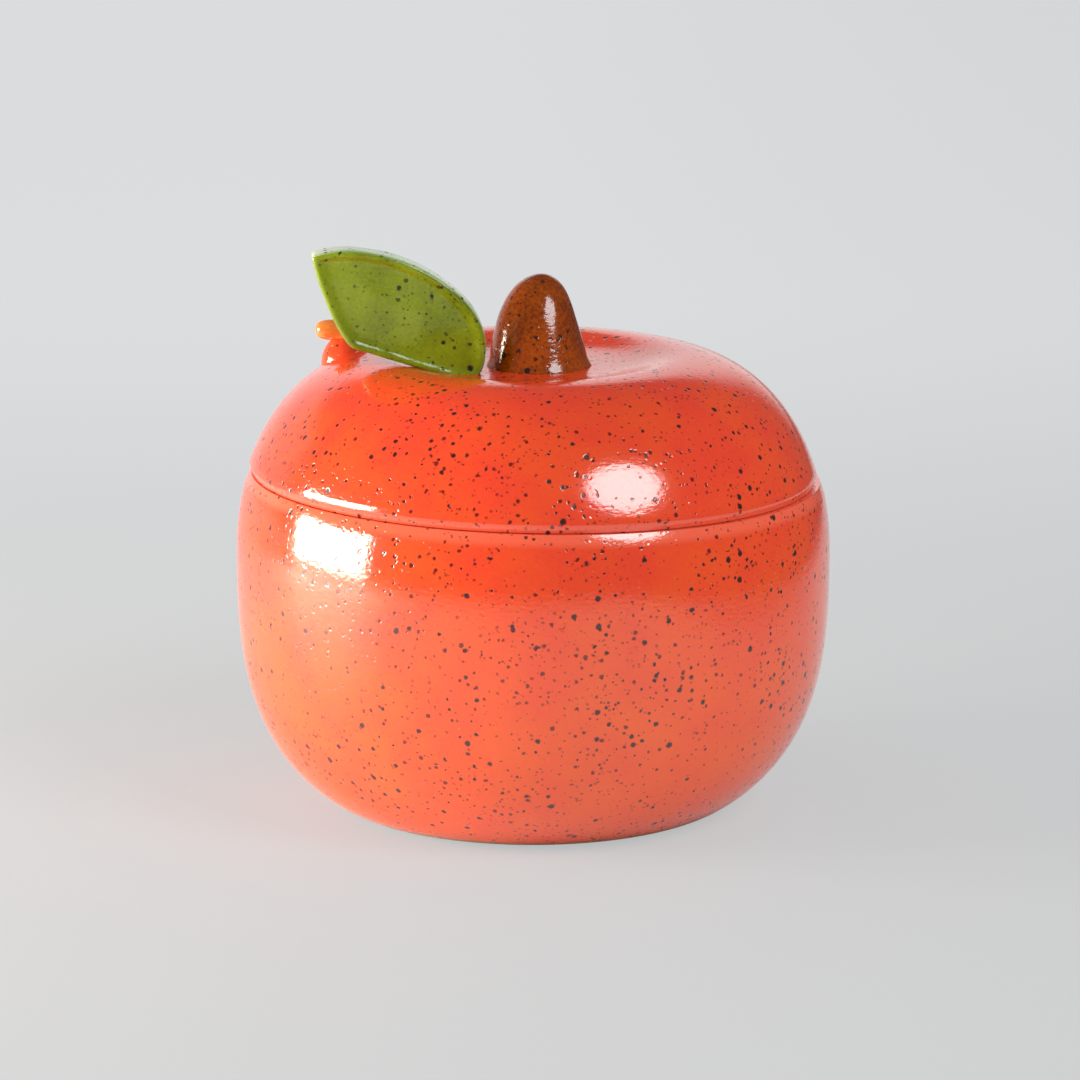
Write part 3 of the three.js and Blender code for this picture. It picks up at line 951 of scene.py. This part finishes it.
dress(pot, red_glaze, liner_glaze, bare_clay)
sort_faces(pot, 0, pot_finish)
dress(lid, red_glaze, liner_glaze, bare_clay)
sort_faces(lid, LID_X, lid_finish)
dress(flange, bare_clay)
dress(stem, brown_glaze)
dress(leaf, green_glaze)
dress(mound, red_glaze)
dress(worm, orange_glaze)
for piece in (pot, lid):
    finishes = [face.material_index for face in piece.data.polygons]
    counts = [finishes.count(finish) for finish in (OUTSIDE, INSIDE, BARE)]
    print(piece.name, "has", counts, "red, lined and bare faces")

# %% Join the pieces to the frame
PLACES = [
    (pot, "pot", "pot", "red_glaze"),
    (flange, "flange", "lid_flange", "bare_clay"),
    (lid, "lid", "lid", "red_glaze"),
    (stem, "lid", "stem", "brown_glaze"),
    (leaf, "lid", "leaf", "green_glaze"),
    (mound, "lid", "worm_mound", "red_glaze"),
    (worm, "lid", "worm", "orange_glaze"),
]
for piece, body, node, slot in PLACES:
    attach(piece, body)
    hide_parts(node)
    print(piece.name, "rides on", body, "and replaces", node)

# %% [markdown]
# ## Table and light
# The jar stands on a pale table that ends in front of it and to its right, in a studio that is dark on
# the camera's side: the low belly mirrors the table, and above a soft line it mirrors the dark. A wide,
# low, warm softbox stands close on the left, and a large round one high to the right of the camera. They
# show as the two bright shapes on the glaze. The world is a soft fill. Where the glaze mirrors it, a pale
# screen stands behind the jar and to its left, and where the camera looks at it, it is plain and pale.

# %% The table
FLOOR_SIZE = 10
FLOOR_DEPTH = 0.03
FLOOR_GAP = 0.2 * MM
TABLE_FRONT = -0.42
FRONT_BLUR = 0.18
TABLE_RIGHT = 0.29
RIGHT_BLUR_IN = 0.1
RIGHT_BLUR_OUT = 0.02
PALE = (0.74, 0.75, 0.765, 1)
NEAR_PALE = (0.60, 0.61, 0.615, 1)
SHADE_RIGHT = 0.94
SHADE_REACH = (-0.1, 0.25)
NEAR_SHARE = 0.8
FAR_SHARE = 0.9
FAR_FROM = 0.6
DARK_ROOM = (0.10, 0.10, 0.105, 1)


def floor_paint():
    """Pale paint that turns into a lit backdrop to the back, and ends in the dark where it is mirrored."""
    material, tree, shader = new_material("floor_paint")
    place = add(tree, "ShaderNodeTexCoord").outputs["Object"]
    grain = add(tree, "ShaderNodeTexNoise", {"Vector": place, "Scale": 300.0, "Detail": 3.0}).outputs[0]
    tint = mix_colours(tree, grain, (0.76, 0.765, 0.775, 1), (0.79, 0.795, 0.805, 1))
    tree.links.new(tint, shader.inputs["Base Color"])
    shader.inputs["Roughness"].default_value = 0.6
    shader.inputs["Specular IOR Level"].default_value = 0.2
    spot = add(tree, "ShaderNodeSeparateXYZ", {0: place}).outputs
    ray = add(tree, "ShaderNodeLightPath").outputs
    far = ramp_between(tree, spot["Y"], 0.0, FAR_FROM)
    mirrored = math_node(tree, "MULTIPLY", ray["Is Glossy Ray"], far)
    share = ramp_between(tree, far, 0.0, 1.0, NEAR_SHARE, FAR_SHARE)
    looked_at = math_node(tree, "MULTIPLY", ray["Is Camera Ray"], share)
    lit_share = math_node(tree, "MAXIMUM", mirrored, looked_at)
    shade = ramp_between(tree, spot["X"], *SHADE_REACH, 1.0, SHADE_RIGHT)
    glow = {"Color": mix_colours(tree, far, NEAR_PALE, PALE), "Strength": shade}
    backdrop = add(tree, "ShaderNodeEmission", glow).outputs[0]
    paint = add(tree, "ShaderNodeMixShader", {0: lit_share, 1: shader.outputs[0], 2: backdrop}).outputs[0]
    past_front = ramp_between(tree, spot["Y"], TABLE_FRONT - FRONT_BLUR, TABLE_FRONT + FRONT_BLUR, 1.0, 0.0)
    past_right = ramp_between(tree, spot["X"], TABLE_RIGHT - RIGHT_BLUR_IN, TABLE_RIGHT + RIGHT_BLUR_OUT)
    past_table = math_node(tree, "MAXIMUM", past_front, past_right)
    hidden = math_node(tree, "MULTIPLY", past_table, ray["Is Glossy Ray"])
    dark = add(tree, "ShaderNodeEmission", {"Color": DARK_ROOM}).outputs[0]
    ended = add(tree, "ShaderNodeMixShader", {0: hidden, 1: paint, 2: dark}).outputs[0]
    tree.links.new(ended, tree.nodes["Material Output"].inputs["Surface"])
    return material


bpy.ops.object.select_all(action="DESELECT")
bpy.ops.mesh.primitive_plane_add(size=FLOOR_SIZE)
floor = bpy.context.object
floor.name = "floor"
bpy.ops.object.mode_set(mode="EDIT")
bpy.ops.mesh.extrude_region_move(TRANSFORM_OT_translate={"value": (0, 0, -FLOOR_DEPTH)})
bpy.ops.mesh.select_all(action="SELECT")
bpy.ops.transform.translate(value=(0, 0, -FLOOR_GAP))
close_mesh()
dress(floor, floor_paint())
print("floor", [round(length, 2) for length in floor.dimensions])

# %% The softboxes
JAR_MIDDLE = Vector((0, 0, 0.06))


def softbox(name, azimuth, elevation, distance, size, power, colour, shape="RECTANGLE"):
    """A soft area lamp that looks at the jar. Azimuth 0 is the camera's side and 90 is the right."""
    around, above = math.radians(azimuth), math.radians(elevation)
    aim = Vector((math.sin(around) * math.cos(above), -math.cos(around) * math.cos(above), math.sin(above)))
    bpy.ops.object.select_all(action="DESELECT")
    bpy.ops.object.light_add(type="AREA", location=JAR_MIDDLE + aim * distance)
    lamp = bpy.context.object
    lamp.name = name
    lamp.rotation_euler = aim.to_track_quat("Z", "Y").to_euler()
    lamp.data.shape = shape
    lamp.data.size, lamp.data.size_y = size
    lamp.data.energy = power
    lamp.data.color = colour
    lamp.visible_camera = False
    return lamp


softbox("left_softbox", azimuth=-81, elevation=5.5, distance=0.45, size=(0.29, 0.16), power=4.1,
        colour=(1.0, 0.91, 0.77))
softbox("right_softbox", azimuth=44.5, elevation=39, distance=1.2, size=(0.60, 0.54), power=8.0,
        colour=(0.93, 0.98, 1.0), shape="ELLIPSE")
print("softboxes at left and right")

# %% The world
SCREEN_BACK = (0.35, 0.6)
SCREEN_RIGHT = (0.15, 0.45)
SCREEN_TOP = (0.36, 0.5)
SCREEN_TURN = (-0.6, -0.1)
SCREEN_LEFT_GREY = (0.6, 0.6, 0.61, 1)
SCREEN_WHITE = (1.0, 1.0, 1.0, 1)
FILL_GREY = (0.45, 0.45, 0.455, 1)

world = bpy.data.worlds.new("studio")
bpy.context.scene.world = world
world.use_nodes = True
tree = world.node_tree
sky = tree.nodes["Background"]
towards = add(tree, "ShaderNodeSeparateXYZ", {0: add(tree, "ShaderNodeTexCoord").outputs["Generated"]})
behind = ramp_between(tree, towards.outputs["Y"], *SCREEN_BACK)
not_right = ramp_between(tree, towards.outputs["X"], *SCREEN_RIGHT, 1.0, 0.0)
below_top = ramp_between(tree, towards.outputs["Z"], *SCREEN_TOP, 1.0, 0.0)
screen = math_node(tree, "MULTIPLY", math_node(tree, "MULTIPLY", behind, not_right), below_top)
straight = ramp_between(tree, towards.outputs["X"], *SCREEN_TURN)
backdrop = mix_colours(tree, straight, SCREEN_LEFT_GREY, SCREEN_WHITE)
room = mix_colours(tree, screen, DARK_ROOM, backdrop)
ray = add(tree, "ShaderNodeLightPath").outputs
lit = mix_colours(tree, ray["Is Glossy Ray"], FILL_GREY, room)
tree.links.new(mix_colours(tree, ray["Is Camera Ray"], lit, PALE), sky.inputs["Color"])
bpy.context.scene.view_settings.view_transform = "Standard"
print("world", world.name)
